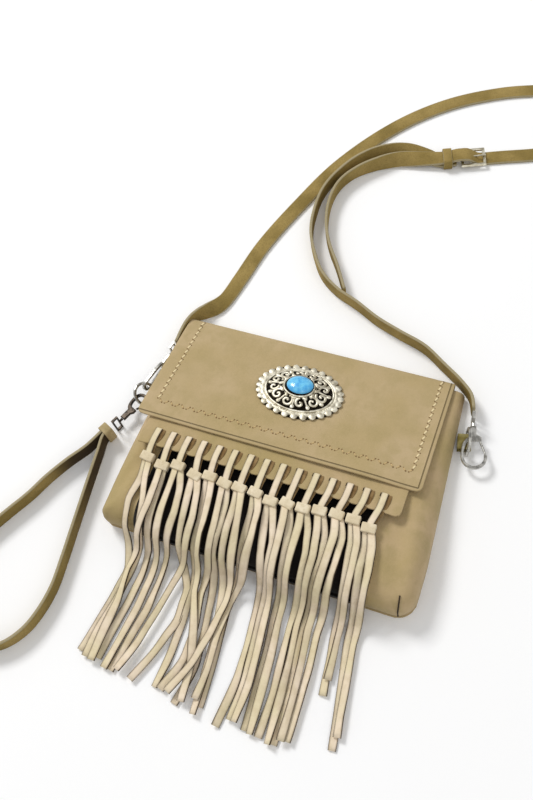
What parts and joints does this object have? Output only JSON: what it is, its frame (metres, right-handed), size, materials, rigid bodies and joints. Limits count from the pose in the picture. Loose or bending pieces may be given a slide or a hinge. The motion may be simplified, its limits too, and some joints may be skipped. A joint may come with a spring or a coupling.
{
  "type": "fringed suede bag",
  "caption": "Small flat shoulder bag of tan suede with a fold-over flap, an oval ornament, a knotted lace fringe, a buckled shoulder strap and a wrist strap.",
  "frame": {"origin": "on the flat back panel, on the table under the middle of the bag", "axes": "+X across the bag to its right side, +Y towards the top of the bag, +Z out of its front"},
  "size_m": [0.4001, 0.6615, 0.0415],
  "materials": {
    "tan_nubuck": "soft brushed nubuck, mottled",
    "cream_lace": "cut suede lace",
    "dark_backing": "matt dark cloth",
    "lining_cloth": "plain woven lining",
    "strap_leather": "smooth strap leather with painted edges",
    "olive_leather": "smooth tab leather",
    "silver_metal": "antiqued silver-coloured casting",
    "dark_metal": "dark plated metal",
    "pale_metal": "pale polished metal",
    "turquoise": "polished turquoise stone"
  },
  "bodies": {
    "bag": {"back_and_flap": "tan_nubuck", "front_pouch": "tan_nubuck", "lining": "lining_cloth", "flap_lining": "lining_cloth", "fringe_strip": "tan_nubuck", "fringe_backing": "dark_backing", "fringe_lace_01": "cream_lace", "fringe_lace_02": "cream_lace", "fringe_lace_03": "cream_lace", "fringe_lace_04": "cream_lace", "fringe_lace_05": "cream_lace", "fringe_lace_06": "cream_lace", "fringe_lace_07": "cream_lace", "fringe_lace_08": "cream_lace", "fringe_lace_09": "cream_lace", "fringe_lace_10": "cream_lace", "fringe_lace_11": "cream_lace", "fringe_lace_12": "cream_lace", "fringe_lace_13": "cream_lace", "fringe_lace_14": "cream_lace", "fringe_lace_15": "cream_lace", "concho_plate": "silver_metal", "concho_stone": "turquoise", "concho_screw": "silver_metal", "snap_stud": "silver_metal", "snap_socket": "silver_metal", "side_tab_right": "olive_leather", "d_ring_right": "silver_metal", "side_tab_left": "olive_leather", "d_ring_left": "silver_metal", "right_hook_frame": "silver_metal", "right_hook_swivel": "silver_metal", "left_hook_frame": "silver_metal", "left_hook_swivel": "silver_metal", "wrist_clasp_frame": "dark_metal", "wrist_clasp_swivel": "dark_metal", "buckle_frame": "pale_metal", "strap_keeper": "tan_nubuck", "shoulder_strap_long": "strap_leather", "shoulder_strap_short": "strap_leather", "wrist_strap": "strap_leather", "wrist_wrap": "strap_leather"},
    "right_gate": {"right_hook_gate": "silver_metal"},
    "left_gate": {"left_hook_gate": "silver_metal"},
    "clasp_gate": {"wrist_clasp_gate": "dark_metal"},
    "prong": {"buckle_prong": "pale_metal"}
  },
  "joints": [
    {"name": "right_gate_hinge", "type": "hinge", "parent": "bag", "child": "right_gate", "pos_m": [0.1375, 0.05148, 0.0092], "axis": [0, 0, -1], "range_deg": [0, 25], "stiffness_Nm_per_rad": 0.01, "springref_deg": -28.65},
    {"name": "left_gate_hinge", "type": "hinge", "parent": "bag", "child": "left_gate", "pos_m": [-0.13395, 0.04264, 0.0065], "axis": [-0.9732, 0.23, 0], "range_deg": [0, 12], "stiffness_Nm_per_rad": 0.01, "springref_deg": -28.65},
    {"name": "clasp_gate_hinge", "type": "hinge", "parent": "bag", "child": "clasp_gate", "pos_m": [-0.13803, -0.00006, 0.0092], "axis": [0, 0, 1], "range_deg": [0, 20], "stiffness_Nm_per_rad": 0.01, "springref_deg": -28.65},
    {"name": "prong_hinge", "type": "hinge", "parent": "bag", "child": "prong", "pos_m": [0.0534, 0.3287, 0.0045], "axis": [0.333, -0.9429, 0], "range_deg": [0, 27]}
  ]
}
